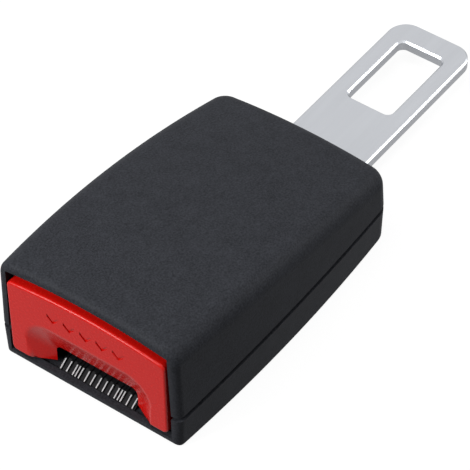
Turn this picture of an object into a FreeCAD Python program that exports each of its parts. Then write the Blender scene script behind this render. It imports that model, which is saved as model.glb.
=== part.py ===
import FreeCAD, Part
import math
import os
import re
import Sketcher

# Seat belt extender: a push-button buckle in a two-part moulded housing, with a metal tongue at the rear.
# Frame of the finished part: X along the length with the tongue towards +X, Z up, and the origin at the
# middle of the housing's flat underside. Every piece is drawn with x = 0 at the front of the housing and
# is then moved forward by half the housing's length. Sizes are millimetres.

SIZES = {
    # Housing outside, at its front, middle and rear
    "housing_length": 79.0,
    "front_half_width": 24.2,
    "middle_half_width": 25.6,
    "rear_half_width": 23.6,
    "front_height": 29.4,
    "middle_height": 26.1,
    "rear_height": 18.9,
    "crown_height": 1.7,
    "top_draft": 0.5,
    "bottom_draft": 0.5,
    "front_parting": 9.2,
    "middle_parting": 10.6,
    "rear_parting": 9.6,
    "parting_groove": 1.3,
    "groove_depth": 1.2,
    "seat_gap": 0.05,
    "side_wall": 2.3,
    "top_wall": 2.0,
    "floor_wall": 1.8,
    "rear_wall": 2.2,
    "rear_corner_radius": 5.0,
    "top_edge_radius": 4.5,
    "lip_radius": 1.8,
    "bottom_edge_radius": 1.0,
    "bottom_trim": 0.5,
    "front_lip_height": 2.4,
    "front_lip_depth": 1.5,
    "hook_spacing": 30.0,
    "hook_length": 6.0,
    "hook_wall": 1.3,
    "hook_standoff": 0.8,
    "hook_catch": 0.5,
    "hook_foot": 5.0,
    # Push button
    "button_proud": 0.5,
    "button_side_gap": 0.7,
    "button_top_gap": 2.5,
    "button_foot_gap": 1.2,
    "button_face_wall": 3.0,
    "button_wall": 1.8,
    "button_depth": 15.0,
    "button_corner_radius": 1.4,
    "button_edge_radius": 0.6,
    "funnel_rim": 4.2,
    "funnel_top": 16.4,
    "funnel_radius": 7.0,
    "notch_half_width": 11.0,
    "notch_top": 8.4,
    "notch_radius": 1.6,
    "leg_gap": 1.2,
    "leg_wall": 3.0,
    "leg_bottom": 5.0,
    "leg_top": 13.0,
    "ramp_slope": 0.7,
    "spigot_radius": 1.1,
    "spigot_length": 2.6,
    # Button return springs and their posts
    "button_spring_inset": 1.3,
    "button_spring_height": 6.6,
    "button_spring_room": 14.0,
    "button_spring_radius": 1.7,
    "button_spring_wire": 0.5,
    "button_spring_turns": 7.0,
    "post_setback": 2.0,
    "post_depth": 2.6,
    "post_half_width": 1.9,
    "post_top": 8.6,
    # Steel frame
    "frame_steel": 1.8,
    "frame_bend_radius": 1.5,
    "frame_front": 11.0,
    "frame_rear_gap": 0.8,
    "frame_side_gap": 1.6,
    "frame_tongue_length": 3.0,
    "wall_low": 10.0,
    "wall_headroom": 0.9,
    "wall_end": 7.0,
    "latch_hole_margin": 2.5,
    "latch_hole_side_margin": 1.0,
    "spring_tab_setback": 3.0,
    "spring_tab_steel": 1.6,
    "spring_tab_height": 5.0,
    "spring_tab_half_width": 5.0,
    # Metal tongue and its rivets
    "tongue_thickness": 3.0,
    "tongue_width": 21.5,
    "tongue_lap": 9.0,
    "tongue_reach": 54.4,
    "tongue_corner_radius": 5.0,
    "tongue_chamfer": 0.4,
    "tongue_slot_clearance": 0.3,
    "window_rim": 6.4,
    "window_length": 23.0,
    "window_width": 12.4,
    "window_radius": 1.8,
    "rivet_setback": 7.0,
    "rivet_spacing": 10.0,
    "rivet_radius": 2.4,
    "rivet_head_radius": 3.6,
    "rivet_head_height": 1.4,
    "rivet_head_rim": 0.3,
    "rivet_clearance": 0.05,
    # Latch and its pivot
    "latch_steel": 2.2,
    "latch_lift": 2.6,
    "latch_length": 38.0,
    "latch_plate_setback": 5.0,
    "latch_side_gap": 2.4,
    "nose_half_width": 5.5,
    "nose_length": 7.0,
    "nose_slope_length": 4.0,
    "nose_depth": 1.0,
    "nose_lead_rise": 0.8,
    "wing_setback": 10.0,
    "wing_length": 4.0,
    "wing_inset": 1.0,
    "wing_clearance": 0.3,
    "wing_window_clearance": 0.6,
    "pivot_setback": 14.0,
    "pivot_rise": 1.8,
    "pivot_radius": 2.0,
    "pivot_clearance": 0.05,
    "side_play": 0.4,
    "ear_wall": 2.4,
    "ear_radius": 3.6,
    "ear_length": 12.0,
    "pin_head_radius": 2.9,
    "pin_head_height": 1.1,
    "pin_groove_radius": 1.5,
    "clip_thickness": 0.6,
    "clip_radius": 3.0,
    "clip_opening": 2.4,
    "pin_end": 0.7,
    # Latch spring and the bridge that holds it down
    "bridge_setback": 8.0,
    "bridge_length": 14.0,
    "bridge_headroom": 3.6,
    "bridge_steel": 1.5,
    "bridge_flange_height": 5.0,
    "bridge_flange_inset": 2.0,
    "latch_spring_radius": 2.6,
    "latch_spring_wire": 0.7,
    "latch_spring_turns": 5.0,
    "bridge_spigot_radius": 1.8,
    "bridge_spigot_length": 3.0,
    # Ejector and its spring
    "ejector_setback": 1.5,
    "ejector_length": 15.5,
    "ejector_fork_depth": 8.0,
    "ejector_shoulder_depth": 9.5,
    "ejector_arm_gap": 1.1,
    "ejector_arm_width": 4.3,
    "ejector_headroom": 0.8,
    "ejector_gap": 0.3,
    "ejector_bore_radius": 2.4,
    "ejector_bore_depth": 5.5,
    "ejector_spring_radius": 1.7,
    "ejector_spring_wire": 0.5,
    "ejector_spring_turns": 10.0,
    "spring_gap": 0.1,
    # Ribbed guide in the mouth of the slot
    "guide_front": 1.7,
    "guide_side_gap": 0.6,
    "guide_frame_gap": 0.1,
    "guide_ramp_foot": 2.0,
    "guide_ramp_rear": 4.4,
    "guide_arch_front": 8.4,
    "guide_arch_length": 7.6,
    "guide_arch_wall": 2.35,
    "guide_side_wall": 1.4,
    "channel_headroom": 1.45,
    "rib_width": 0.55,
    "rib_pitch": 1.63,
    "rib_count": 13,
    "rib_height": 0.4,
    "rib_run": 1.0,
    "double_rib_offset": 0.75,
    # Ribs inside the housing
    "floor_rib_wall": 1.1,
    "floor_rib_height": 2.0,
    "floor_rib_setback": 6.0,
    "rib_clearance": 0.3,
    "hold_down_length": 6.0,
    "hold_down_half_width": 15.0,
    "hold_down_wall": 2.0,
}

doc = FreeCAD.newDocument("SeatBeltExtender")
sheet = doc.addObject("Spreadsheet::Sheet", "Sizes")
for row, (name, number) in enumerate(SIZES.items(), start=1):
    sheet.set(f"A{row}", name)
    sheet.set(f"B{row}", str(number))
    sheet.setAlias(f"B{row}", name)
doc.recompute()

SHEET_NAMES = {name: "Sizes." + name for name in SIZES}

# Sizes and places that follow from others, as formulas. Widths come in from the housing's walls, heights go
# up from the floor, and the stations of the mechanism are counted forward from the housing's rear wall.
FOLLOWING = {
    "base_top": "floor_wall + frame_steel",
    "tongue_top": "base_top + tongue_thickness",
    "latch_bottom": "tongue_top + latch_lift",
    "latch_top": "latch_bottom + latch_steel",
    "ramp_top": "latch_bottom - wing_clearance",
    "pivot_height": "latch_bottom + pivot_rise",
    "nose_bottom": "base_top - nose_depth",
    "nose_lead_height": "tongue_top + nose_lead_rise",
    "bridge_top": "middle_height - top_wall - bridge_headroom",
    "wall_high": "bridge_top - bridge_steel",
    "wall_middle": "rear_height - top_wall - wall_headroom",
    "spring_tab_top": "base_top + spring_tab_height",
    "ejector_top": "latch_bottom - ejector_headroom",
    "ejector_bottom": "base_top + ejector_gap",
    "ejector_middle": "(ejector_bottom + ejector_top) / 2",
    "channel_top": "tongue_top + channel_headroom",
    "guide_arch_top": "channel_top + guide_arch_wall",
    "button_edge_height": "front_height - top_wall - button_top_gap",
    "button_bottom": "front_lip_height + button_foot_gap",
    "hook_outer": "middle_half_width - side_wall - hook_standoff",
    "button_half_width": "min(front_half_width, middle_half_width) - side_wall - button_side_gap",
    "leg_outer": "min(button_half_width, hook_outer - hook_wall) - leg_gap",
    "leg_inner": "leg_outer - leg_wall",
    "button_spring_side": "leg_outer - button_spring_inset",
    "wing_half_width": "leg_outer - wing_inset",
    "frame_half_width": "leg_inner - frame_side_gap",
    "frame_inner": "frame_half_width - frame_steel",
    "latch_half_width": "frame_inner - latch_side_gap",
    "ear_outer": "frame_inner - side_play",
    "ear_inner": "ear_outer - ear_wall",
    "latch_hole_half_width": "nose_half_width + latch_hole_side_margin",
    "ejector_half_width": "frame_inner - side_play",
    "ejector_arm_inner": "nose_half_width + ejector_arm_gap",
    "ejector_arm_outer": "ejector_arm_inner + ejector_arm_width",
    "guide_half_width": "frame_inner - side_play",
    "channel_half_width": "guide_half_width - guide_side_wall",
    "guide_floor_half_width": "notch_half_width - guide_side_gap",
    "funnel_half_width": "button_half_width - funnel_rim",
    "button_back": "button_depth - button_proud",
    "guide_arch_rear": "guide_arch_front + guide_arch_length",
    "frame_rear": "housing_length - rear_wall - frame_rear_gap",
    "wall_front": "frame_front + frame_tongue_length",
    "rivet_station": "frame_rear - rivet_setback",
    "tongue_root": "rivet_station - tongue_lap",
    "tongue_tip": "housing_length + tongue_reach",
    "window_rear": "tongue_tip - window_rim",
    "window_front": "window_rear - window_length",
    "spring_tab_front": "tongue_root - spring_tab_setback",
    "pivot_station": "frame_rear - pivot_setback",
    "latch_front": "pivot_station - latch_length",
    "latch_rear": "pivot_station - latch_plate_setback",
    "ear_front": "pivot_station - ear_length",
    "nose_rear": "latch_front + nose_length",
    "nose_tip_front": "latch_front + nose_slope_length",
    "wing_front": "latch_front + wing_setback",
    "wing_rear": "wing_front + wing_length",
    "latch_hole_front": "latch_front - latch_hole_margin",
    "latch_hole_rear": "nose_rear + latch_hole_margin",
    "bridge_rear": "pivot_station - bridge_setback",
    "bridge_front": "bridge_rear - bridge_length",
    "latch_spring_station": "(bridge_front + bridge_rear) / 2",
    "hold_down_front": "latch_spring_station - hold_down_length / 2",
    "post_front": "pivot_station - post_setback",
    "leg_end": "post_front - button_spring_room",
    "ejector_front": "latch_front + ejector_setback",
    "ejector_rear": "ejector_front + ejector_length",
    "ejector_web_front": "ejector_front + ejector_fork_depth",
    "ejector_shoulder": "ejector_front + ejector_shoulder_depth",
    "ejector_bore_front": "ejector_rear - ejector_bore_depth",
    "floor_rib_front": "latch_front",
    "floor_rib_rear": "frame_rear - floor_rib_setback",
}


def formula(text):
    """Put a formula into the sheet's names, with the sizes that follow from others written out."""
    def written_out(match):
        word = match.group()
        if word in FOLLOWING:
            return "(" + formula(FOLLOWING[word]) + ")"
        return SHEET_NAMES.get(word, word)

    return re.sub(r"[a-z_]+", written_out, text)


def bind(item, path, text):
    item.setExpression(path, formula(text))


def new_body(label, base=None):
    """Start a piece whose x is counted from the front of the housing."""
    body = doc.addObject("PartDesign::Body", label)
    body.Label = label
    body.BaseFeature = base
    bind(body, "Placement.Base.x", "-housing_length / 2")
    return body


def new_sketch(body, plane_role, offset="0"):
    """Attach a sketch to one of the body's origin planes, moved along the plane's normal."""
    sketch = body.newObject("Sketcher::SketchObject", body.Label + "_sketch")
    plane = next(item for item in body.Origin.OriginFeatures if item.Role == plane_role)
    sketch.AttachmentSupport = [(plane, "")]
    sketch.MapMode = "FlatFace"
    bind(sketch, "AttachmentOffset.Base.z", offset)
    return sketch


def free_sketch(label, station):
    """Make an upright sketch across the housing's length that belongs to no body."""
    sketch = doc.addObject("Sketcher::SketchObject", label + "_section")
    sketch.Placement = FreeCAD.Placement(FreeCAD.Vector(), FreeCAD.Rotation(FreeCAD.Vector(1, 1, 1), 120))
    bind(sketch, "Placement.Base.x", station)
    return sketch


def constrain(sketch, kind, geometry, point, start, text):
    """Add a dimension and bind it to a formula."""
    value = float(start)
    arguments = [kind, geometry, point, value] if point else [kind, geometry, value]
    index = sketch.addConstraint(Sketcher.Constraint(*arguments))
    bind(sketch, f"Constraints[{index}]", text)


def outline(sketch, corners):
    """Draw a closed outline of straight lines whose corners are pairs of formulas."""
    first = sketch.GeometryCount
    count = len(corners)
    turn = 2 * math.pi / count
    starts = [FreeCAD.Vector(10 * math.cos(k * turn), 10 * math.sin(k * turn), 0) for k in range(count)]
    for k in range(count):
        sketch.addGeometry(Part.LineSegment(starts[k], starts[(k + 1) % count]))
    for k in range(count):
        sketch.addConstraint(Sketcher.Constraint("Coincident", first + k, 2, first + (k + 1) % count, 1))
    for k, (across, along) in enumerate(corners):
        constrain(sketch, "DistanceX", first + k, 1, starts[k].x, across)
        constrain(sketch, "DistanceY", first + k, 1, starts[k].y, along)


def rectangle(sketch, left, right, low, high):
    outline(sketch, [(left, low), (right, low), (right, high), (left, high)])


def both_sides(sketch, corners, across=True):
    """Draw an outline and its mirror image on the piece's other side."""
    outline(sketch, corners)
    if across:
        outline(sketch, [(f"-({side})", other) for side, other in corners])
    else:
        outline(sketch, [(other, f"-({side})") for other, side in corners])


def circle(sketch, across, along, radius):
    index = sketch.addGeometry(Part.Circle(FreeCAD.Vector(5, 5, 0), FreeCAD.Vector(0, 0, 1), 2))
    constrain(sketch, "DistanceX", index, 3, 5, across)
    constrain(sketch, "DistanceY", index, 3, 5, along)
    constrain(sketch, "Radius", index, 0, 2, radius)


def arched_outline(sketch, half_bottom, half_top, bottom, edge, crown):
    """Draw a section with a flat bottom, drafted sides and an arched top."""
    half, low, high, rise = 20.0, 4.0, 24.0, 1.7
    bend = (half**2 + rise**2) / (2 * rise)
    swing = math.asin(half / bend)
    centre = FreeCAD.Vector(0, high + rise - bend, 0)
    arc = Part.Circle(centre, FreeCAD.Vector(0, 0, 1), bend)
    corners = [(-half, low), (half, low), (half, high), (-half, high)]
    points = [FreeCAD.Vector(across, along, 0) for across, along in corners]
    sketch.addGeometry(Part.LineSegment(points[0], points[1]))
    sketch.addGeometry(Part.LineSegment(points[1], points[2]))
    sketch.addGeometry(Part.ArcOfCircle(arc, math.pi / 2 - swing, math.pi / 2 + swing))
    sketch.addGeometry(Part.LineSegment(points[3], points[0]))
    for k in range(4):
        sketch.addConstraint(Sketcher.Constraint("Coincident", k, 2, (k + 1) % 4, 1))
    places = [
        (0, f"-({half_bottom})", bottom),
        (1, half_bottom, bottom),
        (2, half_top, edge),
        (3, f"-({half_top})", edge),
    ]
    for k, across, along in places:
        constrain(sketch, "DistanceX", k, 1, points[k].x, across)
        constrain(sketch, "DistanceY", k, 1, points[k].y, along)
    constrain(sketch, "Radius", 2, 0, bend, f"(({half_top})^2 + ({crown})^2) / (2 * ({crown}))")


def gate_outline(sketch, half_width, top, radius, bottom):
    """Draw a gate: upright sides and a flat top joined by tangent arcs."""
    half, low, high, bend = 15.0, -2.0, 14.0, 3.0
    ends = [
        ((-half, low), (half, low)),
        ((half, low), (half, high - bend)),
        ((half - bend, high), (bend - half, high)),
        ((-half, high - bend), (-half, low)),
    ]
    for start, end in ends:
        sketch.addGeometry(Part.LineSegment(FreeCAD.Vector(*start, 0), FreeCAD.Vector(*end, 0)))
    for side, begin in ((1, 0), (-1, math.pi / 2)):
        centre = FreeCAD.Vector(side * (half - bend), high - bend, 0)
        arc = Part.Circle(centre, FreeCAD.Vector(0, 0, 1), bend)
        sketch.addGeometry(Part.ArcOfCircle(arc, begin, begin + math.pi / 2))
    for joint in ((0, 2, 1, 1), (1, 2, 4, 1), (4, 2, 2, 1), (2, 2, 5, 1), (5, 2, 3, 1), (3, 2, 0, 1)):
        sketch.addConstraint(Sketcher.Constraint("Coincident", *joint))
    spring_line = f"{top} - {radius}"
    places = [
        (0, ends[0][0], f"-({half_width})", bottom),
        (1, ends[1][0], half_width, bottom),
        (4, ends[1][1], half_width, spring_line),
        (2, ends[2][0], f"{half_width} - {radius}", top),
        (5, ends[2][1], f"{radius} - {half_width}", top),
        (3, ends[3][0], f"-({half_width})", spring_line),
    ]
    for geometry, start, across, along in places:
        constrain(sketch, "DistanceX", geometry, 1, start[0], across)
        constrain(sketch, "DistanceY", geometry, 1, start[1], along)
    for arc in (4, 5):
        constrain(sketch, "Radius", arc, 0, bend, radius)


def extrude(kind, body, sketch, length, midplane=False, backwards=False):
    feature = body.newObject(kind, body.Label + "_feature")
    feature.Profile = sketch
    bind(feature, "Length", length)
    feature.Midplane = midplane
    feature.Reversed = backwards
    return feature


def pad(body, sketch, length, midplane=False, backwards=False):
    """Add material along the sketch's normal, or equally to both sides."""
    return extrude("PartDesign::Pad", body, sketch, length, midplane, backwards)


def pocket(body, sketch, length, midplane=False, backwards=False):
    """Cut material away and make sure that the cut has met the piece."""
    doc.recompute()
    before = body.Shape.Volume
    feature = extrude("PartDesign::Pocket", body, sketch, length, midplane, backwards)
    doc.recompute()
    if not body.Shape.Volume < before - 1e-6:
        raise RuntimeError("a cut in " + body.Label + " removes nothing")
    return feature


def loft(kind, body, sketches):
    feature = body.newObject(kind, body.Label + "_loft")
    feature.Profile = sketches[0]
    feature.Sections = sketches[1:]
    return feature


def dress(kind, body, path, amount, chosen):
    """Round or bevel the edges of a body for which a test on the edge is true."""
    doc.recompute()
    base = body.Tip
    names = [f"Edge{k}" for k, edge in enumerate(base.Shape.Edges, start=1) if chosen(edge)]
    if not names:
        raise RuntimeError("no edge to dress in " + body.Label)
    feature = body.newObject(kind, body.Label + "_dress")
    feature.Base = (base, names)
    bind(feature, path, amount)
    doc.recompute()
    if "Invalid" in feature.State or feature.Shape.isNull():
        raise RuntimeError(f"{body.Label}: {names} can't be dressed by {amount}")
    return feature


def fillet(body, radius, chosen):
    return dress("PartDesign::Fillet", body, "Radius", radius, chosen)


def chamfer(body, width, chosen):
    return dress("PartDesign::Chamfer", body, "Size", width, chosen)


def runs_along(edge, axis):
    """Say whether an edge's two ends lie along an axis, to within about ten degrees."""
    if len(edge.Vertexes) < 2:
        return False
    span = edge.Vertexes[-1].Point - edge.Vertexes[0].Point
    return span.Length > 1e-6 and abs(span.dot(axis)) > 0.985 * span.Length


def size(name):
    return SIZES[name]


STATIONS = ("0", "housing_length / 2", "housing_length")
X_AXIS = FreeCAD.Vector(1, 0, 0)
Y_AXIS = FreeCAD.Vector(0, 1, 0)
Z_AXIS = FreeCAD.Vector(0, 0, 1)


def lofted(label, sketches):
    """Make a smooth solid through free sketches."""
    blank = doc.addObject("Part::Loft", label + "_blank")
    blank.Sections = sketches
    blank.Solid = True
    return blank


def new_blank(label, solid):
    """Start a body at the origin that trims and rounds a solid before a piece is made from it."""
    body = doc.addObject("PartDesign::Body", label)
    body.BaseFeature = solid
    return body


def housing_sections(start, stations, inset, drop, floor):
    """Draw the housing's arched sections at three stations, set in from the outside by a wall."""
    sketches = []
    for place, station in zip(("front", "middle", "rear"), stations):
        sketch = start(station)
        half = f"({place}_half_width - ({inset}))"
        edge = f"({place}_height - ({drop}))"
        arched_outline(sketch, half, f"({half} - top_draft)", floor.format(place), edge, "crown_height")
        sketches.append(sketch)
    return sketches


def tub_sections(start, stations, inset, floor, top):
    """Draw the lower housing's sections, which lean in towards the floor."""
    sketches = []
    for place, station in zip(("front", "middle", "rear"), stations):
        sketch = start(station)
        half = f"({place}_half_width - ({inset}))"
        low, high = f"({half} - bottom_draft)", top.format(place)
        corners = [(f"-{low}", floor), (low, floor), (half, high), (f"-{half}", high)]
        outline(sketch, corners)
        sketches.append(sketch)
    return sketches


def upper_shell():
    rim = "({}_parting + parting_groove / 2)"
    outside = housing_sections(lambda place: free_sketch("upper_shell", place), STATIONS, "0", "0", rim)
    body = new_body("upper_shell", lofted("upper_shell", outside))
    length = size("housing_length")
    fillet(body, "rear_corner_radius", lambda e: runs_along(e, Z_AXIS) and e.CenterOfMass.x > length - 1)
    shoulder = size("middle_parting") + size("parting_groove") + 2
    fillet(body, "top_edge_radius", lambda e: e.BoundBox.ZMin > shoulder and e.BoundBox.XMax > 1)
    fillet(body, "lip_radius", lambda e: e.BoundBox.XMax < 0.1 and e.BoundBox.ZMax > shoulder)

    inner = ("-front_lip_depth", "housing_length / 2", "housing_length - rear_wall")
    deep = "({}_parting - parting_groove)"
    inside = housing_sections(lambda place: new_sketch(body, "YZ_Plane", place), inner,
                              "side_wall", "top_wall", deep)
    loft("PartDesign::SubtractiveLoft", body, inside)

    hooks = new_sketch(body, "YZ_Plane", "(housing_length - hook_spacing - hook_length) / 2")
    outer = "hook_outer"
    shelf = "(middle_parting + parting_groove)"
    both_sides(hooks, [
        (f"{outer} - hook_wall", "hook_foot"),
        (outer, "hook_foot"),
        (f"{outer} + hook_catch", "hook_foot + hook_catch"),
        (f"{outer} + hook_catch", "hook_foot + 2 * hook_catch"),
        (outer, "hook_foot + 3 * hook_catch"),
        (outer, shelf),
        ("middle_half_width - side_wall / 2", f"{shelf} + side_wall"),
        ("middle_half_width - side_wall / 2", f"{shelf} + 3 * side_wall"),
        (f"{outer} - hook_wall", f"{shelf} + 2 * side_wall"),
    ])
    catches = pad(body, hooks, "hook_length")
    repeat(body, catches, (body, "X_Axis"), "hook_spacing", 2)

    ribs = new_sketch(body, "XY_Plane", f"bridge_top + rib_clearance")
    both_sides(ribs, [
        ("hold_down_front", "hold_down_half_width - hold_down_wall"),
        ("hold_down_front + hold_down_length", "hold_down_half_width - hold_down_wall"),
        ("hold_down_front + hold_down_length", "hold_down_half_width"),
        ("hold_down_front", "hold_down_half_width"),
    ], across=False)
    pad(body, ribs, f"middle_height - top_wall / 2 - (bridge_top + rib_clearance)")
    return body


def lower_shell():
    length = size("housing_length")
    below = "({}_parting - parting_groove / 2)"
    above = "({}_parting + parting_groove / 2 - seat_gap)"

    def rear_upright(edge):
        return runs_along(edge, Z_AXIS) and edge.CenterOfMass.x > length / 2

    def under_side(edge):
        return edge.BoundBox.ZMax < 0.1 and edge.BoundBox.XMax > 1

    def front_rim(edge):
        return edge.BoundBox.XMax < 0.1 and edge.BoundBox.ZMin < size("front_parting") - 2

    def across(place):
        return free_sketch("lower_shell", place)

    tub = new_blank("lower_shell_tub", lofted("tub", tub_sections(across, STATIONS, "0", "-bottom_trim", below)))
    trim = new_sketch(tub, "XY_Plane")
    rectangle(trim, "-housing_length", "2 * housing_length", "-housing_length", "housing_length")
    pocket(tub, trim, "2 * bottom_trim")
    fillet(tub, "rear_corner_radius", rear_upright)
    fillet(tub, "bottom_edge_radius", under_side)
    fillet(tub, "lip_radius", front_rim)
    inset = ("groove_depth", "housing_length / 2", "housing_length - groove_depth")
    rim_loft = lofted("rim", tub_sections(across, inset, "groove_depth", "floor_wall", above))
    rim = new_blank("lower_shell_rim", rim_loft)
    fillet(rim, "rear_corner_radius - groove_depth", rear_upright)
    joined = doc.addObject("Part::Fuse", "lower_shell_outside")
    joined.Base = tub
    joined.Tool = rim
    body = new_body("lower_shell", joined)

    def on_body(place):
        return new_sketch(body, "YZ_Plane", place)

    inner = ("front_lip_depth", "housing_length / 2", "housing_length - rear_wall")
    high = "({}_parting + 2 * parting_groove)"
    loft("PartDesign::SubtractiveLoft", body, tub_sections(on_body, inner, "side_wall", "floor_wall", high))

    mouth = new_sketch(body, "YZ_Plane", "2 * front_lip_depth")
    opening = "(front_half_width - side_wall)"
    rectangle(mouth, f"-{opening}", opening, "front_lip_height", "2 * front_parting")
    pocket(body, mouth, "4 * front_lip_depth", midplane=True)

    exit_slot = new_sketch(body, "YZ_Plane", "housing_length - rear_wall")
    side = "(tongue_width / 2 + tongue_slot_clearance)"
    rectangle(exit_slot, f"-{side}", side, f"base_top - tongue_slot_clearance",
              f"tongue_top + tongue_slot_clearance")
    pocket(body, exit_slot, "4 * rear_wall", midplane=True)

    catches = new_sketch(body, "YZ_Plane", "(housing_length - hook_spacing - hook_length) / 2 - rib_clearance")
    reach = "(hook_outer + hook_catch + rib_clearance)"
    both_sides(catches, [
        ("middle_half_width - 2 * side_wall", "hook_foot - rib_clearance"),
        (reach, "hook_foot - rib_clearance"),
        (reach, "hook_foot + 3 * hook_catch + rib_clearance"),
        ("middle_half_width - 2 * side_wall", "hook_foot + 3 * hook_catch + rib_clearance"),
    ])
    pockets = pocket(body, catches, "hook_length + 2 * rib_clearance", backwards=True)
    repeat(body, pockets, (body, "X_Axis"), "hook_spacing", 2)

    ribs = new_sketch(body, "XY_Plane", "floor_wall / 2")
    face = "(frame_half_width + rib_clearance)"
    both_sides(ribs, [
        ("floor_rib_front", face),
        ("floor_rib_rear", face),
        ("floor_rib_rear", f"{face} + floor_rib_wall"),
        ("floor_rib_front", f"{face} + floor_rib_wall"),
    ], across=False)
    pad(body, ribs, "floor_wall / 2 + floor_rib_height")

    posts = new_sketch(body, "YZ_Plane", "post_front")
    near = "(button_spring_side - post_half_width)"
    far = "(button_spring_side + post_half_width)"
    both_sides(posts, [(near, "floor_wall / 2"), (far, "floor_wall / 2"), (far, "post_top"), (near, "post_top")])
    pad(body, posts, "post_depth")
    spigots = new_sketch(body, "YZ_Plane", "post_front")
    circle(spigots, "button_spring_side", "button_spring_height", "spigot_radius")
    circle(spigots, "-button_spring_side", "button_spring_height", "spigot_radius")
    pad(body, spigots, "spigot_length", backwards=True)
    return body


def release_button():
    body = new_body("release_button")
    face = new_sketch(body, "YZ_Plane", "-button_proud")
    half, edge = "button_half_width", "button_edge_height"
    arched_outline(face, half, half, "button_bottom", edge, "crown_height")
    pad(body, face, "button_depth")
    fillet(body, "button_corner_radius", lambda e: runs_along(e, X_AXIS))
    front = -size("button_proud")
    fillet(body, "button_edge_radius", lambda e: e.BoundBox.XMax < front + 0.1)

    hollow = new_sketch(body, "YZ_Plane", "button_back")
    inner = "(button_half_width - button_wall)"
    arched_outline(hollow, inner, inner, "0", "button_edge_height - button_wall", "crown_height")
    pocket(body, hollow, "button_depth - button_face_wall")

    funnel = new_sketch(body, "YZ_Plane", "-button_proud - 0.01")
    gate_outline(funnel, "funnel_half_width", "funnel_top", "funnel_radius", "-button_bottom")
    notch = new_sketch(body, "YZ_Plane", "button_face_wall - button_proud + 0.01")
    gate_outline(notch, "notch_half_width", "notch_top", "notch_radius", "-button_bottom")
    loft("PartDesign::SubtractiveLoft", body, [funnel, notch])

    for side in ("", "-"):
        leg = new_sketch(body, "XZ_Plane", f"{side}(leg_inner + leg_outer) / 2")
        run = f"(ramp_top - leg_top) / ramp_slope"
        outline(leg, [
            ("button_face_wall / 2", "leg_bottom"),
            ("leg_end", "leg_bottom"),
            ("leg_end", "ramp_top"),
            ("wing_front", "ramp_top"),
            (f"wing_front + {run}", "leg_top"),
            ("button_face_wall / 2", "leg_top"),
        ])
        pad(body, leg, "leg_outer - leg_inner", midplane=True)

    spigots = new_sketch(body, "YZ_Plane", "leg_end")
    circle(spigots, "button_spring_side", "button_spring_height", "spigot_radius")
    circle(spigots, "-button_spring_side", "button_spring_height", "spigot_radius")
    pad(body, spigots, "spigot_length")
    return body


def slot_guide():
    body = new_body("slot_guide")
    arch = new_sketch(body, "XZ_Plane")
    rear = "(frame_front - guide_frame_gap)"
    outline(arch, [
        ("guide_arch_front", "floor_wall"),
        (rear, "floor_wall"),
        (rear, "base_top"),
        ("guide_arch_rear", "base_top"),
        ("guide_arch_rear", "guide_arch_top"),
        ("guide_arch_front", "guide_arch_top"),
    ])
    pad(body, arch, "2 * guide_half_width", midplane=True)
    channel = new_sketch(body, "YZ_Plane", "guide_arch_rear")
    rectangle(channel, "-channel_half_width", "channel_half_width", "base_top", "channel_top")
    pocket(body, channel, "guide_arch_rear")

    ramp = new_sketch(body, "XZ_Plane")
    outline(ramp, [
        ("guide_front", "floor_wall"),
        ("guide_arch_front", "floor_wall"),
        ("guide_arch_front", "base_top"),
        ("guide_ramp_rear", "base_top"),
        ("guide_front", "guide_ramp_foot"),
    ])
    pad(body, ramp, "2 * guide_floor_half_width", midplane=True)

    first = "rib_pitch * (rib_count - 1) / 2"
    comb = rib_sketch(body, first)
    ribs = pad(body, comb, "rib_width", midplane=True)
    repeat(body, ribs, (body, "Y_Axis"), f"2 * {first}", SIZES["rib_count"])
    for place in (f"{first} - 2 * rib_pitch - double_rib_offset", f"2 * rib_pitch + double_rib_offset - {first}"):
        pad(body, rib_sketch(body, place), "rib_width", midplane=True)
    return body


def rib_sketch(body, place):
    """Draw one rib of the comb on the ramp; the sketch's normal points towards -Y."""
    sketch = new_sketch(body, "XZ_Plane", place)
    outline(sketch, [
        ("guide_front + 0.1", "floor_wall + 0.1"),
        ("guide_front + 0.1", "guide_ramp_foot + rib_height"),
        ("guide_ramp_rear - rib_height", f"base_top + rib_height / 2"),
        ("guide_ramp_rear + rib_run", f"base_top + rib_height / 2"),
        ("guide_ramp_rear + rib_run + rib_height", f"base_top - 0.1"),
    ])
    return sketch


def repeat(body, feature, axis, length, count):
    """Repeat a feature in a row along one of the body's axes."""
    doc.recompute()
    owner, role = axis
    line = next(item for item in owner.Origin.OriginFeatures if item.Role == role)
    pattern = body.newObject("PartDesign::LinearPattern", body.Label + "_pattern")
    pattern.Originals = [feature]
    pattern.Direction = (line, [""])
    bind(pattern, "Length", length)
    pattern.Occurrences = count
    body.Tip = pattern
    return pattern


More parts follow.
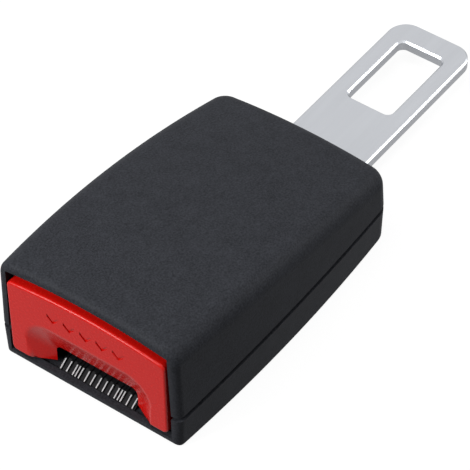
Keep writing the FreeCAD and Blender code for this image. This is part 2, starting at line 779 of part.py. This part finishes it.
def buckle_frame():
    body = new_body("buckle_frame")
    side = new_sketch(body, "XZ_Plane")
    window_front = "(wing_front - wing_window_clearance)"
    window_rear = "(wing_rear + wing_window_clearance)"
    window_floor = "(latch_bottom - wing_window_clearance)"
    outline(side, [
        ("frame_front", "floor_wall"),
        ("frame_rear", "floor_wall"),
        ("frame_rear", "wall_end"),
        ("pivot_station + 2 * ear_radius", "wall_middle"),
        ("bridge_rear + bridge_flange_inset", "wall_middle"),
        ("bridge_rear", "wall_high"),
        (window_rear, "wall_high"),
        (window_rear, window_floor),
        (window_front, window_floor),
        (window_front, "wall_middle"),
        ("latch_front", "wall_middle"),
        ("(latch_front + wall_front) / 2", "wall_low"),
        ("wall_front", "wall_low"),
        ("wall_front", "base_top"),
        ("frame_front", "base_top"),
    ])
    pad(body, side, "2 * frame_half_width", midplane=True)
    inside = new_sketch(body, "XZ_Plane")
    rectangle(inside, "frame_front - 1", "frame_rear + 1", "base_top", "2 * wall_high")
    pocket(body, inside, f"2 * frame_inner", midplane=True)
    fillet(body, "frame_bend_radius", lambda e: runs_along(e, X_AXIS) and e.BoundBox.ZMax < size("floor_wall") + 0.01)

    tab = new_sketch(body, "YZ_Plane", "spring_tab_front")
    tab_half = "spring_tab_half_width"
    rectangle(tab, f"-{tab_half}", tab_half, f"base_top - frame_steel / 2", "spring_tab_top")
    pad(body, tab, "spring_tab_steel")

    pivot = new_sketch(body, "XZ_Plane")
    circle(pivot, "pivot_station", "pivot_height", "pivot_radius + pivot_clearance")
    pocket(body, pivot, "4 * frame_half_width", midplane=True)

    base = new_sketch(body, "XY_Plane", "floor_wall")
    hole = "latch_hole_half_width"
    rectangle(base, "latch_hole_front", "latch_hole_rear", f"-{hole}", hole)
    rivet_circles(base)
    pocket(body, base, "4 * frame_steel", midplane=True)
    return body


def rivet_circles(sketch):
    for side in ("", "-"):
        place = f"{side}rivet_spacing / 2"
        circle(sketch, "rivet_station", place, "rivet_radius + rivet_clearance")


def tongue_plate():
    body = new_body("tongue_plate")
    blank = new_sketch(body, "XY_Plane", "base_top")
    rectangle(blank, "tongue_root", "tongue_tip", "-tongue_width / 2", "tongue_width / 2")
    pad(body, blank, "tongue_thickness")
    tip = size("housing_length") + size("tongue_reach")
    fillet(body, "tongue_corner_radius", lambda e: runs_along(e, Z_AXIS) and e.CenterOfMass.x > tip - 1)
    window = new_sketch(body, "XY_Plane", "base_top")
    rectangle(window, "window_front", "window_rear", "-window_width / 2", "window_width / 2")
    pocket(body, window, "4 * tongue_thickness", midplane=True)
    rear = tip - size("window_rim") + 0.1
    front = rear - size("window_length") - 0.2
    fillet(body, "window_radius", lambda e: runs_along(e, Z_AXIS) and front < e.CenterOfMass.x < rear
           and abs(e.CenterOfMass.y) < size("window_width") / 2 + 0.1)
    bottom = size("floor_wall") + size("frame_steel")
    top = bottom + size("tongue_thickness")
    chamfer(body, "tongue_chamfer", lambda e: e.BoundBox.ZLength < 0.01
            and (abs(e.CenterOfMass.z - top) < 0.01 or abs(e.CenterOfMass.z - bottom) < 0.01))
    rivets = new_sketch(body, "XY_Plane", "base_top")
    rivet_circles(rivets)
    pocket(body, rivets, "4 * tongue_thickness", midplane=True)
    return body


def tongue_rivets():
    body = new_body("tongue_rivets")
    body.AllowCompound = True
    shanks = new_sketch(body, "XY_Plane", "floor_wall + rivet_clearance")
    heads = new_sketch(body, "XY_Plane", f"tongue_top")
    for side in ("", "-"):
        place = f"{side}rivet_spacing / 2"
        circle(shanks, "rivet_station", place, "rivet_radius")
        circle(heads, "rivet_station", place, "rivet_head_radius")
    pad(body, shanks, f"tongue_top - floor_wall")
    pad(body, heads, "rivet_head_height")
    top = size("floor_wall") + size("frame_steel") + size("tongue_thickness") + size("rivet_head_height")
    fillet(body, "rivet_head_height - rivet_head_rim", lambda e: abs(e.CenterOfMass.z - top) < 0.01)
    return body


def latch_plate():
    body = new_body("latch_plate")
    plate = new_sketch(body, "XY_Plane", "latch_bottom")
    nose_front, wing = "latch_front", "wing_half_width"
    half = "latch_half_width"
    rectangle(plate, nose_front, "latch_rear", f"-{half}", half)
    pad(body, plate, "latch_steel")
    wings = new_sketch(body, "XY_Plane", "latch_bottom")
    rectangle(wings, "wing_front", "wing_rear", f"-{wing}", wing)
    pad(body, wings, "latch_steel")

    nose = new_sketch(body, "XZ_Plane")
    outline(nose, [
        ("latch_front", f"latch_top - latch_steel / 2"),
        ("latch_front", "nose_lead_height"),
        ("nose_tip_front", "nose_bottom"),
        ("nose_rear", "nose_bottom"),
        ("nose_rear", f"latch_top - latch_steel / 2"),
    ])
    pad(body, nose, "2 * nose_half_width", midplane=True)

    for side in ("", "-"):
        ear = new_sketch(body, "XZ_Plane", f"{side}(ear_inner + ear_outer) / 2")
        outline(ear, [
            ("ear_front", "latch_bottom"),
            ("pivot_station", "pivot_height - ear_radius"),
            ("pivot_station + ear_radius * 0.8", "pivot_height - ear_radius * 0.6"),
            ("pivot_station + ear_radius", "pivot_height"),
            ("pivot_station + ear_radius * 0.8", "pivot_height + ear_radius * 0.6"),
            ("pivot_station", "pivot_height + ear_radius"),
            ("ear_front", "latch_top"),
        ])
        pad(body, ear, "ear_outer - ear_inner", midplane=True)
    bore = new_sketch(body, "XZ_Plane")
    circle(bore, "pivot_station", "pivot_height", "pivot_radius + pivot_clearance")
    pocket(body, bore, "4 * ear_outer", midplane=True)
    return body


def turned_body(label, axis, angle, station, side, height):
    """Start a piece that is drawn along its own Z axis and then laid along another."""
    body = doc.addObject("PartDesign::Body", label)
    body.Label = label
    body.Placement = FreeCAD.Placement(FreeCAD.Vector(), FreeCAD.Rotation(axis, angle))
    bind(body, "Placement.Base.x", f"{station} - housing_length / 2")
    bind(body, "Placement.Base.y", side)
    bind(body, "Placement.Base.z", height)
    return body


def pivot_pin():
    """Headed pin across the frame; its own z = 0 is the frame's outer face on the clip's side."""
    body = turned_body("pivot_pin", X_AXIS, -90, "pivot_station", "-frame_half_width", "pivot_height")
    profile = new_sketch(body, "XZ_Plane")
    groove_low = "(0 - clip_thickness - 2 * pivot_clearance)"
    outline(profile, [
        ("0", f"{groove_low} - pin_end"),
        ("pivot_radius", f"{groove_low} - pin_end"),
        ("pivot_radius", groove_low),
        ("pin_groove_radius", groove_low),
        ("pin_groove_radius", "0"),
        ("pivot_radius", "0"),
        ("pivot_radius", "2 * frame_half_width"),
        ("pin_head_radius", "2 * frame_half_width"),
        ("pin_head_radius", "2 * frame_half_width + pin_head_height"),
        ("0", "2 * frame_half_width + pin_head_height"),
    ])
    turn = body.newObject("PartDesign::Revolution", "pivot_pin_turning")
    turn.Profile = profile
    turn.ReferenceAxis = (profile, ["V_Axis"])
    turn.Angle = 360
    return body


def pin_clip():
    """Push-on clip in the pin's groove, against the frame's side."""
    body = turned_body("pin_clip", X_AXIS, -90, "pivot_station", "-frame_half_width - pivot_clearance",
                       "pivot_height")
    ring = new_sketch(body, "XY_Plane")
    circle(ring, "0", "0", "clip_radius")
    circle(ring, "0", "0", "pin_groove_radius + pivot_clearance")
    pad(body, ring, "clip_thickness", backwards=True)
    gap = new_sketch(body, "XY_Plane")
    rectangle(gap, "-clip_opening / 2", "clip_opening / 2", "0", "2 * clip_radius")
    pocket(body, gap, "4 * clip_thickness", midplane=True)
    return body


def coil_spring(label, axis, angle, start, side, height, radius, wire, turns, length):
    """Wind a round wire about the piece's own Z axis."""
    body = turned_body(label, axis, angle, start, side, height)
    section = new_sketch(body, "XZ_Plane")
    circle(section, radius, f"{wire} / 2", f"{wire} / 2")
    coil = body.newObject("PartDesign::AdditiveHelix", label + "_coil")
    coil.Profile = section
    coil.ReferenceAxis = (section, ["V_Axis"])
    coil.Mode = "height-turns-angle"
    bind(coil, "Height", f"{length} - {wire}")
    bind(coil, "Turns", turns)
    return body


def springs():
    made = []
    for label, side in (("button_spring_left", ""), ("button_spring_right", "-")):
        made.append(coil_spring(
            label, Y_AXIS, 90, "leg_end + spring_gap", f"{side}button_spring_side", "button_spring_height",
            "button_spring_radius", "button_spring_wire", "button_spring_turns",
            "(post_front - leg_end - 2 * spring_gap)",
        ))
    made.append(coil_spring(
        "ejector_spring", Y_AXIS, 90, "ejector_bore_front + spring_gap", "0", "ejector_middle",
        "ejector_spring_radius", "ejector_spring_wire", "ejector_spring_turns",
        "(spring_tab_front - ejector_bore_front - 2 * spring_gap)",
    ))
    made.append(coil_spring(
        "latch_spring", Y_AXIS, 0, "latch_spring_station", "0", f"latch_top + spring_gap",
        "latch_spring_radius", "latch_spring_wire", "latch_spring_turns",
        f"(wall_high - latch_top - 2 * spring_gap)",
    ))
    return made


def spring_bridge():
    body = new_body("spring_bridge")
    plate = new_sketch(body, "XY_Plane", "wall_high")
    reach = "(frame_half_width + seat_gap + bridge_steel)"
    rectangle(plate, "bridge_front", "bridge_rear", f"-{reach}", reach)
    pad(body, plate, "bridge_steel")
    flanges = new_sketch(body, "XY_Plane", f"wall_high - bridge_flange_height")
    both_sides(flanges, [
        ("bridge_front + bridge_flange_inset", "frame_half_width + seat_gap"),
        ("bridge_rear - bridge_flange_inset", "frame_half_width + seat_gap"),
        ("bridge_rear - bridge_flange_inset", reach),
        ("bridge_front + bridge_flange_inset", reach),
    ], across=False)
    pad(body, flanges, "bridge_flange_height + bridge_steel / 2")
    spigot = new_sketch(body, "XY_Plane", "wall_high")
    circle(spigot, "latch_spring_station", "0", "bridge_spigot_radius")
    pad(body, spigot, "bridge_spigot_length", backwards=True)
    return body


def ejector():
    body = new_body("ejector")
    fork = new_sketch(body, "XY_Plane", f"base_top + ejector_gap")
    arm, tip, half = "ejector_arm_outer", "ejector_arm_inner", "ejector_half_width"
    outline(fork, [
        ("ejector_front", arm),
        ("ejector_shoulder", arm),
        ("ejector_shoulder", half),
        ("ejector_rear", half),
        ("ejector_rear", f"-{half}"),
        ("ejector_shoulder", f"-{half}"),
        ("ejector_shoulder", f"-{arm}"),
        ("ejector_front", f"-{arm}"),
        ("ejector_front", f"-{tip}"),
        ("ejector_web_front", f"-{tip}"),
        ("ejector_web_front", tip),
        ("ejector_front", tip),
    ])
    pad(body, fork, f"ejector_top - (base_top + ejector_gap)")
    bore = new_sketch(body, "YZ_Plane", "ejector_rear")
    circle(bore, "0", "ejector_middle", "ejector_bore_radius")
    pocket(body, bore, "ejector_rear - ejector_bore_front")
    return body


pieces = [
    upper_shell(),
    lower_shell(),
    release_button(),
    slot_guide(),
    buckle_frame(),
    tongue_plate(),
    tongue_rivets(),
    latch_plate(),
    pivot_pin(),
    pin_clip(),
    spring_bridge(),
    ejector(),
    *springs(),
]
doc.recompute()

for item in doc.Objects:
    if {"Invalid", "Error"} & set(item.State):
        raise RuntimeError(f"{item.Label} did not compute: {item.State}")
for piece in pieces:
    if piece.Shape.isNull() or not piece.Shape.isValid():
        raise RuntimeError(f"{piece.Label} has no valid shape")

os.makedirs("parts", exist_ok=True)
for piece in pieces:
    piece.Shape.exportStep(f"parts/{piece.Label}.step")
    solids = len(piece.Shape.Solids)
    print(f"{piece.Label}: {solids} solid(s), {piece.Shape.Volume:.1f} mm3")
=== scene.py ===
import math

import bpy
from mathutils import Matrix, Vector


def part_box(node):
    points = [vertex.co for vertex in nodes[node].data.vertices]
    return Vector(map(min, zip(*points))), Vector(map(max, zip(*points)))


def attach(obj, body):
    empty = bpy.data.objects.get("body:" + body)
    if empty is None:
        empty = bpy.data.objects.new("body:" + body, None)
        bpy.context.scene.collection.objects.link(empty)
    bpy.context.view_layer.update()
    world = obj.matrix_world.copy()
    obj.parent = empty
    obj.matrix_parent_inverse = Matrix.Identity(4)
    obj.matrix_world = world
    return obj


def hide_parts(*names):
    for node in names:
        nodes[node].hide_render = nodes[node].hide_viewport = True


# Seat belt extender on a plain white table, seen from above its front right corner.
# Lengths are in metres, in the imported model's own frame: +X to the tongue, +Z up.

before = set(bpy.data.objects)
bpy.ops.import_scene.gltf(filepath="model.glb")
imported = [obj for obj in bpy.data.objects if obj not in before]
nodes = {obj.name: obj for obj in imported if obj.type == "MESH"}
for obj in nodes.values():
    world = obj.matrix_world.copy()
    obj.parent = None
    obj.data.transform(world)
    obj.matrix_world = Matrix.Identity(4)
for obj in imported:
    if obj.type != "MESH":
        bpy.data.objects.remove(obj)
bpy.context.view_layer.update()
MM = 0.001

# Chevrons engraved in the button's face, five in a row across its middle
CHEVRON_WIDTH = 3.0 * MM
CHEVRON_DROP = 1.5 * MM
CHEVRON_STROKE = 0.9 * MM
CHEVRON_PITCH = 4.4 * MM
CHEVRON_COUNT = 5
CHEVRON_DEPTH = 0.35 * MM
MARK_HEIGHT = 21.2 * MM

# The button's face, where the scoop's rim lies on it, and how wide that rim is rounded
BUTTON_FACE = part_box("release_button")[0][0]
FACE_SLACK = 0.02 * MM
SCOOP_FOOT = 6.7 * MM
SCOOP_TOP = 16.5 * MM
SCOOP_HALF_WIDTH = 17.1 * MM
RIM_ROUND = 0.5 * MM
RIM_STEPS = 5
MERGE_REACH = 0.001 * MM
SMOOTH_BELOW = math.radians(30)

# The guide's ramp rises from its front to its rear, where the level floor goes on
RAMP_FRONT, RAMP_REAR = -37.8 * MM, -35.1 * MM
RAMP_FOOT, RAMP_TOP = 2.0 * MM, 3.6 * MM
RIB_PITCH = 1.63 * MM
EXTRA_RIB = 5.77 * MM

# Painted highlight along the crest of each rib, a pale line standing in for the light its rounded crest
# catches: half its width, and the heights between which it shows
HIGHLIGHT_HALF_WIDTH = 0.09 * MM
HIGHLIGHT_FROM = 0.12 * MM
HIGHLIGHT_FULL = 0.19 * MM
HIGHLIGHT_BELOW = 3.72 * MM
# Pale colour of the painted crest highlight
PAINTED_HIGHLIGHT_COLOUR = (0.55, 0.55, 0.56, 1)

# Table and room: what they show to the camera, to reflections and through clear things, and their light
TABLE_SIZE = 6.0
TABLE_DROP = 0.05 * MM
TABLE_GREY = 0.11
TABLE_SEEN = 0.92
TABLE_MIRRORED = 0.55
ROOM_SEEN = 1.0
ROOM_LIGHT = 0.08

# Each lamp's name, place, the spot it points at, its size and its power in watts
SOFTBOXES = (
    ("softbox above", (-0.05, -0.05, 0.9), (0, 0, 0), (0.6, 0.6), 5.0),
    ("softbox front left", (-0.65, 0.38, 0.50), (0, 0, 0.01), (0.4, 0.4), 8.0),
    ("softbox right", (0.49, -0.65, 0.38), (0.02, 0, 0), (0.22, 0.22), 0.6),
    ("softbox rear right", (0.60, -0.35, 0.30), (0.03, 0, 0.01), (0.25, 0.25), 1.6),
)

# Camera, solved from the corners of the housing, the tongue and its window
CAMERA_TARGET = (0.0126647, 0, 0.0070452)
CAMERA_BACK = (-0.54698, -0.42055, 0.72384)
CAMERA_DISTANCE = 0.670385
CAMERA_ROLL = math.radians(-1.4395)
CAMERA_LENS = 230.287
CAMERA_SENSOR = 36
CAMERA_NEAR = 0.05


def new_material(name):
    """Start a material and give back its node tree and its Principled shader."""
    material = bpy.data.materials.new(name)
    material.use_nodes = True
    return material, material.node_tree, material.node_tree.nodes["Principled BSDF"]


def add_node(tree, kind, **settings):
    node = tree.nodes.new(kind)
    for name, value in settings.items():
        setattr(node, name, value)
    return node


def feed(tree, socket, value):
    """Give a socket its value: a link from another socket, or a plain number or colour."""
    if isinstance(value, bpy.types.NodeSocket):
        tree.links.new(value, socket)
    else:
        socket.default_value = value


def calculate(tree, operation, *values):
    """Math node on sockets or plain numbers; gives back its result."""
    node = add_node(tree, "ShaderNodeMath", operation=operation)
    for socket, value in zip(node.inputs, values):
        feed(tree, socket, value)
    return node.outputs[0]


def stretch_range(tree, value, spread, onto=(0.0, 1.0)):
    """Map Range node that carries one range of a value onto another, held at its ends."""
    node = add_node(tree, "ShaderNodeMapRange")
    for name, number in zip(("From Min", "From Max", "To Min", "To Max"), (*spread, *onto)):
        node.inputs[name].default_value = number
    feed(tree, node.inputs["Value"], value)
    return node.outputs["Result"]


def two_tones(tree, value, spread, dark, light):
    """Colour ramp from a dark to a light tone."""
    ramp = add_node(tree, "ShaderNodeValToRGB")
    for stop, place, colour in zip(ramp.color_ramp.elements, spread, (dark, light)):
        stop.position = place
        stop.color = (*colour, 1)
    feed(tree, ramp.inputs["Fac"], value)
    return ramp.outputs["Color"]


def raise_surface(tree, shader, height, strength, distance):
    """Small relief of the surface, from a height."""
    bump = add_node(tree, "ShaderNodeBump")
    bump.inputs["Strength"].default_value = strength
    bump.inputs["Distance"].default_value = distance
    feed(tree, bump.inputs["Height"], height)
    feed(tree, shader.inputs["Normal"], bump.outputs["Normal"])


def noise(tree, place, scale, detail):
    node = add_node(tree, "ShaderNodeTexNoise")
    node.inputs["Detail"].default_value = detail
    feed(tree, node.inputs["Vector"], place)
    feed(tree, node.inputs["Scale"], scale)
    return node.outputs["Fac"]


def mottled_grain():
    """Group: the fine uneven grain of a moulded surface, as a height and a tone."""
    tree = bpy.data.node_groups.new("Mottled grain", "ShaderNodeTree")
    for name, start in (("Grain size", 2500.0), ("Cloud size", 260.0)):
        socket = tree.interface.new_socket(name, in_out="INPUT", socket_type="NodeSocketFloat")
        socket.default_value = start
    for name in ("Height", "Tone"):
        tree.interface.new_socket(name, in_out="OUTPUT", socket_type="NodeSocketFloat")
    inside = add_node(tree, "NodeGroupInput")
    outside = add_node(tree, "NodeGroupOutput")
    place = add_node(tree, "ShaderNodeTexCoord").outputs["Object"]
    grain = noise(tree, place, inside.outputs["Grain size"], 3.0)
    cloud = noise(tree, place, inside.outputs["Cloud size"], 2.0)
    cloud_share = 0.25
    feed(tree, outside.inputs["Height"], grain)
    feed(tree, outside.inputs["Tone"], calculate(tree, "MULTIPLY_ADD", cloud, cloud_share, grain))
    return tree


GRAIN = mottled_grain()


def moulded_plastic(name, dark, light, rough, grain_size, depth, shine=0.5):
    """Moulded plastic whose tone and gloss vary with its grain."""
    material, tree, shader = new_material(name)
    shader.inputs["Specular IOR Level"].default_value = shine
    grain = add_node(tree, "ShaderNodeGroup", node_tree=GRAIN)
    grain.inputs["Grain size"].default_value = grain_size
    height = grain.outputs["Height"]
    gloss = stretch_range(tree, height, (0.3, 0.7), (rough - 0.05, rough + 0.07))
    feed(tree, shader.inputs["Base Color"], two_tones(tree, grain.outputs["Tone"], (0.4, 0.85), dark, light))
    feed(tree, shader.inputs["Roughness"], gloss)
    raise_surface(tree, shader, height, 0.6, depth)
    return material


def plated_steel(name, colour, rough, stretch):
    """Plated steel with faint rolling lines along its length."""
    material, tree, shader = new_material(name)
    shader.inputs["Metallic"].default_value = 1.0
    lie = add_node(tree, "ShaderNodeMapping")
    lie.inputs["Scale"].default_value = stretch
    feed(tree, lie.inputs["Vector"], add_node(tree, "ShaderNodeTexCoord").outputs["Object"])
    lines = noise(tree, lie.outputs["Vector"], 60.0, 6.0)
    dull = [0.97 * part for part in colour]
    gloss = stretch_range(tree, lines, (0.0, 1.0), (rough - 0.04, rough + 0.05))
    feed(tree, shader.inputs["Base Color"], two_tones(tree, lines, (0.3, 0.7), dull, colour))
    feed(tree, shader.inputs["Roughness"], gloss)
    raise_surface(tree, shader, lines, 0.08, 0.01 * MM)
    return material


def paint_rib_crest_highlights(material):
    """Painted highlight on the crest of each rib, where it stands above the ramp: a pale line standing in
    for the light the crest catches.
    """
    tree = material.node_tree
    shader = tree.nodes["Principled BSDF"]
    plain = shader.inputs["Base Color"].links[0].from_socket
    split = add_node(tree, "ShaderNodeSeparateXYZ")
    feed(tree, split.inputs["Vector"], add_node(tree, "ShaderNodeTexCoord").outputs["Object"])
    along, across, up = split.outputs
    ground = stretch_range(tree, along, (RAMP_FRONT, RAMP_REAR), (RAMP_FOOT, RAMP_TOP))
    raised = stretch_range(tree, calculate(tree, "SUBTRACT", up, ground), (HIGHLIGHT_FROM, HIGHLIGHT_FULL))
    on_ramp = calculate(tree, "MULTIPLY", raised, calculate(tree, "LESS_THAN", up, HIGHLIGHT_BELOW))
    from_comb = calculate(tree, "PINGPONG", across, RIB_PITCH / 2)
    from_extra = calculate(tree, "ABSOLUTE", calculate(
        tree, "SUBTRACT", calculate(tree, "ABSOLUTE", across), EXTRA_RIB))
    nearest = calculate(tree, "MINIMUM", from_comb, from_extra)
    line = stretch_range(tree, nearest, (HIGHLIGHT_HALF_WIDTH, 2 * HIGHLIGHT_HALF_WIDTH), (1.0, 0.0))
    # Painted highlight: the pale colour is mixed over the plain base along each crest line
    mix = add_node(tree, "ShaderNodeMix", data_type="RGBA")
    factor, under, over = mix.inputs[0], mix.inputs[6], mix.inputs[7]
    feed(tree, factor, calculate(tree, "MULTIPLY", on_ramp, line))
    feed(tree, under, plain)
    feed(tree, over, PAINTED_HIGHLIGHT_COLOUR)
    feed(tree, shader.inputs["Base Color"], mix.outputs[2])


housing_black = moulded_plastic(
    "Matte black housing", (0.017, 0.018, 0.021), (0.038, 0.040, 0.047), 0.50, 2400, 0.09 * MM, 0.04)
guide_black = moulded_plastic(
    "Black slot guide", (0.006, 0.006, 0.007), (0.012, 0.012, 0.013), 0.50, 3000, 0.03 * MM, 0.08)
button_red = moulded_plastic(
    "Glossy red button", (0.55, 0.005, 0.003), (0.58, 0.006, 0.003), 0.24, 1500, 0.001 * MM, 0.22)
ejector_white = moulded_plastic(
    "Natural ejector plastic", (0.62, 0.60, 0.54), (0.72, 0.70, 0.64), 0.45, 1800, 0.02 * MM)
tongue_steel = plated_steel("Bright plated tongue", (0.525, 0.54, 0.57), 0.32, (1, 14, 14))
frame_steel = plated_steel("Zinc plated frame", (0.60, 0.60, 0.60), 0.42, (1, 8, 8))
wire_steel = plated_steel("Spring wire", (0.42, 0.42, 0.43), 0.3, (4, 4, 4))
paint_rib_crest_highlights(guide_black)

FINISHES = {
    "upper_shell": housing_black,
    "lower_shell": housing_black,
    "release_button": button_red,
    "slot_guide": guide_black,
    "buckle_frame": frame_steel,
    "latch_plate": frame_steel,
    "spring_bridge": frame_steel,
    "tongue_plate": tongue_steel,
    "tongue_rivets": frame_steel,
    "pivot_pin": frame_steel,
    "pin_clip": wire_steel,
    "ejector": ejector_white,
    "button_spring_left": wire_steel,
    "button_spring_right": wire_steel,
    "ejector_spring": wire_steel,
    "latch_spring": wire_steel,
}


def put_on(piece, finish):
    piece.data.materials.clear()
    piece.data.materials.append(finish)


for name, finish in FINISHES.items():
    put_on(nodes[name], finish)


def select_only(piece):
    bpy.ops.object.select_all(action="DESELECT")
    piece.select_set(True)
    bpy.context.view_layer.objects.active = piece


def pick(kind, parts, wanted):
    """Select the wanted faces, edges or corners of the active piece, and open it for editing."""
    bpy.ops.object.mode_set(mode="EDIT")
    bpy.ops.mesh.select_mode(type=kind)
    bpy.ops.mesh.select_all(action="DESELECT")
    bpy.ops.object.mode_set(mode="OBJECT")
    for part in parts:
        part.select = wanted(part)
    bpy.ops.object.mode_set(mode="EDIT")


def chevron_row():
    """Row of chevron bars that stand through the button's face, to be cut out of it."""
    first = -CHEVRON_PITCH * (CHEVRON_COUNT - 1) / 2
    bpy.ops.object.select_all(action="DESELECT")
    bpy.ops.mesh.primitive_grid_add(
        x_subdivisions=2, y_subdivisions=1, size=1,
        location=(BUTTON_FACE - CHEVRON_DEPTH, first, MARK_HEIGHT),
        rotation=(math.pi / 2, 0, math.pi / 2))
    row = bpy.context.object
    row.scale = (CHEVRON_WIDTH, CHEVRON_STROKE, 1)
    bpy.ops.object.transform_apply(location=True, rotation=True, scale=True)
    pick("VERT", row.data.vertices, lambda corner: abs(corner.co.y - first) < CHEVRON_WIDTH / 4)
    bpy.ops.transform.translate(value=(0, 0, -CHEVRON_DROP))
    bpy.ops.mesh.select_all(action="SELECT")
    bpy.ops.mesh.extrude_region_move(TRANSFORM_OT_translate={"value": (2 * CHEVRON_DEPTH, 0, 0)})
    bpy.ops.mesh.select_all(action="SELECT")
    bpy.ops.mesh.normals_make_consistent(inside=False)
    bpy.ops.object.mode_set(mode="OBJECT")
    copies = row.modifiers.new("copies", "ARRAY")
    copies.count = CHEVRON_COUNT
    copies.use_relative_offset = False
    copies.use_constant_offset = True
    copies.constant_offset_displace = (0, CHEVRON_PITCH, 0)
    bpy.ops.object.modifier_apply(modifier="copies")
    return row


def soften_scoop(button):
    """Make the flat of the face one face, and round the rim where the scoop runs out into it."""
    mesh = button.data
    pick("FACE", mesh.polygons, lambda face: (
        face.normal.x < -0.999 and abs(face.center.x - BUTTON_FACE) < FACE_SLACK))
    bpy.ops.mesh.dissolve_faces()
    bpy.ops.object.mode_set(mode="OBJECT")
    flat = max(mesh.polygons, key=lambda face: face.area)
    on_flat = {tuple(sorted(key)) for key in flat.edge_keys}
    pick("EDGE", mesh.edges, lambda edge: tuple(sorted(edge.vertices)) in on_flat and all(
        SCOOP_FOOT < mesh.vertices[end].co.z < SCOOP_TOP and abs(mesh.vertices[end].co.y) < SCOOP_HALF_WIDTH
        for end in edge.vertices))
    bpy.ops.mesh.bevel(offset=RIM_ROUND, segments=RIM_STEPS, affect="EDGES", clamp_overlap=False)
    bpy.ops.object.mode_set(mode="OBJECT")


def engraved_button():
    """The release button with a plain row of chevrons engraved in the flat of its face."""
    button = bpy.data.objects.new("engraved_button", nodes["release_button"].data.copy())
    bpy.context.scene.collection.objects.link(button)
    select_only(button)
    bpy.ops.object.mode_set(mode="EDIT")
    bpy.ops.mesh.select_all(action="SELECT")
    bpy.ops.mesh.remove_doubles(threshold=MERGE_REACH)
    bpy.ops.mesh.normals_make_consistent(inside=False)
    bpy.ops.object.mode_set(mode="OBJECT")
    soften_scoop(button)
    row = chevron_row()
    select_only(button)
    cut = button.modifiers.new("mark", "BOOLEAN")
    cut.operation = "DIFFERENCE"
    cut.solver = "EXACT"
    cut.object = row
    bpy.ops.object.modifier_apply(modifier="mark")
    bpy.data.objects.remove(row)
    bpy.ops.object.shade_smooth_by_angle(angle=SMOOTH_BELOW)
    even = button.modifiers.new("even", "WEIGHTED_NORMAL")
    even.keep_sharp = True
    bpy.ops.object.modifier_apply(modifier="even")
    put_on(button, button_red)
    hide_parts("release_button")
    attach(button, "button")


def weighed_rays(tree, camera, glossy, clear):
    """Value of its own for what the camera, reflections and clear things see, and nothing for all else."""
    rays = add_node(tree, "ShaderNodeLightPath").outputs
    total = calculate(tree, "MULTIPLY", rays["Is Camera Ray"], camera)
    total = calculate(tree, "MULTIPLY_ADD", rays["Is Glossy Ray"], glossy, total)
    return calculate(tree, "MULTIPLY_ADD", rays["Is Transmission Ray"], clear, total)


def add_table():
    """Plain pale table under the buckle: it reads as white and keeps the buckle's soft shadow."""
    bpy.ops.object.select_all(action="DESELECT")
    bpy.ops.mesh.primitive_plane_add(size=TABLE_SIZE, location=(0, 0, -TABLE_DROP))
    table = bpy.context.object
    table.name = "table"
    material, tree, shader = new_material("White table")
    shader.inputs["Base Color"].default_value = (TABLE_GREY, TABLE_GREY, TABLE_GREY, 1)
    shader.inputs["Roughness"].default_value = 0.9
    shader.inputs["Specular IOR Level"].default_value = 0.0
    shader.inputs["Emission Color"].default_value = (1, 1, 1, 1)
    glow = weighed_rays(tree, TABLE_SEEN, TABLE_MIRRORED, TABLE_SEEN)
    feed(tree, shader.inputs["Emission Strength"], glow)
    table.data.materials.append(material)


def add_world():
    """White room to look at and to see in the steel, with a dimmer light of its own."""
    world = bpy.data.worlds.new("White room")
    bpy.context.scene.world = world
    world.use_nodes = True
    tree = world.node_tree
    room = tree.nodes["Background"]
    seen = weighed_rays(tree, ROOM_SEEN, ROOM_SEEN, ROOM_SEEN)
    feed(tree, room.inputs["Strength"], calculate(tree, "MAXIMUM", seen, ROOM_LIGHT))
    room.inputs["Color"].default_value = (1, 1, 1, 1)
    feed(tree, tree.nodes["World Output"].inputs["Surface"], room.outputs[0])


def add_softbox(name, place, aim, size, watts):
    """Large soft lamp that points at a spot near the buckle."""
    lamp = bpy.data.lights.new(name, "AREA")
    lamp.shape = "RECTANGLE"
    lamp.size, lamp.size_y = size
    lamp.energy = watts
    holder = bpy.data.objects.new(name, lamp)
    holder.location = place
    holder.rotation_euler = (Vector(aim) - Vector(place)).to_track_quat("-Z", "Y").to_euler()
    bpy.context.scene.collection.objects.link(holder)


def add_camera():
    """Camera that looks at the buckle along the photographed direction, turned a little about it."""
    back = Vector(CAMERA_BACK).normalized()
    right = Vector((-back.y, back.x, 0)).normalized()
    up = back.cross(right)
    across = math.cos(CAMERA_ROLL) * right + math.sin(CAMERA_ROLL) * up
    upward = math.cos(CAMERA_ROLL) * up - math.sin(CAMERA_ROLL) * right
    place = Vector(CAMERA_TARGET) + CAMERA_DISTANCE * back
    lens = bpy.data.cameras.new("camera")
    lens.lens = CAMERA_LENS
    lens.sensor_width = CAMERA_SENSOR
    lens.clip_start = CAMERA_NEAR
    camera = bpy.data.objects.new("camera", lens)
    camera.matrix_world = Matrix((
        (across.x, upward.x, back.x, place.x),
        (across.y, upward.y, back.y, place.y),
        (across.z, upward.z, back.z, place.z),
        (0, 0, 0, 1),
    ))
    bpy.context.scene.collection.objects.link(camera)
    bpy.context.scene.camera = camera


engraved_button()
add_table()
add_world()
for softbox in SOFTBOXES:
    add_softbox(*softbox)
add_camera()
bpy.context.scene.view_settings.view_transform = "Standard"
